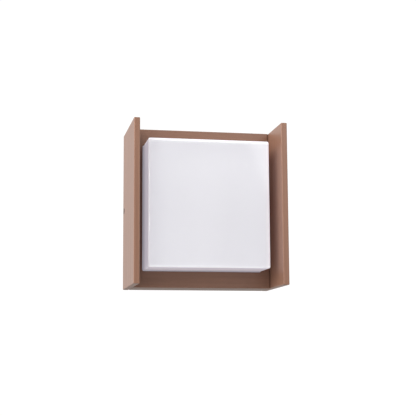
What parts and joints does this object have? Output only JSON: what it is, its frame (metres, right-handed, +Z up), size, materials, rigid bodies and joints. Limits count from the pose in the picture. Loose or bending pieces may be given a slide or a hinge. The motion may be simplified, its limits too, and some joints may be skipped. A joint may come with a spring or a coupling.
{
  "type": "outdoor wall lantern",
  "caption": "Square outdoor wall light: two flat side panels stand forward of a back housing with a recessed opal box diffuser; the cover pulls off a wall bracket with a lampholder.",
  "frame": {"origin": "centre of the wall plane, on the rear face of the wall bracket", "axes": "+Z up, +Y into the wall, -Y out of the wall towards the viewer, +X to the viewer's right when facing the wall"},
  "size_m": [0.18, 0.105, 0.19],
  "materials": {
    "brown_lacquer": "satin metallic brown lacquer over fine brushed aluminium",
    "opal_plastic": "glossy opal white acrylic",
    "black_rubber": "matt black rubber",
    "zinc_steel": "zinc-plated sheet steel",
    "screw_steel": "stainless steel",
    "brass": "bare brass",
    "terminal_plastic": "natural white plastic",
    "ceramic": "glazed porcelain",
    "lamp_plastic": "white plastic",
    "lamp_globe": "frosted white",
    "nickel": "nickel-plated brass",
    "insulator": "black glass insulator",
    "wire_brown": "brown insulation",
    "wire_blue": "blue insulation",
    "wire_green": "green insulation with a yellow stripe"
  },
  "bodies": {
    "wall_base": {"wall_bracket": "zinc_steel", "cable_grommet": "black_rubber", "terminal_block": "terminal_plastic", "terminal_insert_1": "brass", "terminal_insert_2": "brass", "terminal_insert_3": "brass", "terminal_screw_1": "screw_steel", "terminal_screw_2": "screw_steel", "terminal_screw_3": "screw_steel", "terminal_screw_4": "screw_steel", "terminal_screw_5": "screw_steel", "terminal_screw_6": "screw_steel", "terminal_fixing_screw_1": "screw_steel", "terminal_fixing_screw_2": "screw_steel", "earth_lug": "zinc_steel", "earth_screw": "screw_steel", "holder_bracket": "zinc_steel", "holder_bracket_screw_1": "screw_steel", "holder_bracket_screw_2": "screw_steel", "lampholder": "ceramic", "thread_sleeve": "nickel", "centre_contact": "brass", "holder_screw_1": "screw_steel", "holder_screw_2": "screw_steel", "wire_live": "wire_brown", "wire_neutral": "wire_blue", "wire_earth": "wire_green"},
    "cover": {"back_housing": "brown_lacquer", "side_panel_left": "brown_lacquer", "side_panel_right": "brown_lacquer", "panel_screw_left_1": "screw_steel", "panel_screw_left_2": "screw_steel", "panel_screw_left_3": "screw_steel", "panel_screw_left_4": "screw_steel", "panel_screw_right_1": "screw_steel", "panel_screw_right_2": "screw_steel", "panel_screw_right_3": "screw_steel", "panel_screw_right_4": "screw_steel", "diffuser": "opal_plastic", "diffuser_gasket": "black_rubber", "diffuser_clamp_frame": "zinc_steel", "clamp_screw_1": "screw_steel", "clamp_screw_2": "screw_steel", "clamp_screw_3": "screw_steel", "clamp_screw_4": "screw_steel", "clamp_screw_5": "screw_steel", "clamp_screw_6": "screw_steel", "wall_gasket": "black_rubber"},
    "side_screw_left": {"side_screw_left": "screw_steel"},
    "side_screw_right": {"side_screw_right": "screw_steel"},
    "lamp_foot": {"lamp_contact": "nickel", "lamp_insulator": "insulator"},
    "lamp": {"lamp_cap": "nickel", "lamp_body": "lamp_plastic", "lamp_globe": "lamp_globe"}
  },
  "joints": [
    {"name": "cover_pull_off", "type": "slide", "parent": "wall_base", "child": "cover", "axis": [0, -1, 0], "range_m": [0, 0.1]},
    {"name": "side_screw_left_turn", "type": "hinge", "parent": "cover", "child": "side_screw_left", "pos_m": [-0.0826, -0.009, 0], "axis": [-1, 0, 0], "range_deg": [0, 720]},
    {"name": "side_screw_right_turn", "type": "hinge", "parent": "cover", "child": "side_screw_right", "pos_m": [0.0826, -0.009, 0], "axis": [1, 0, 0], "range_deg": [0, 720]},
    {"name": "lamp_rise", "type": "slide", "parent": "wall_base", "child": "lamp_foot", "axis": [0, 0, 1], "range_m": [0, 0.01452]},
    {"name": "lamp_turn", "type": "hinge", "parent": "lamp_foot", "child": "lamp", "pos_m": [0, -0.046, -0.03], "axis": [0, 0, 1], "range_deg": [0, 1440]}
  ],
  "couplings": [
    {"joint": "lamp_turn", "follows": "lamp_rise", "rad_per_m": 1730.9}
  ]
}
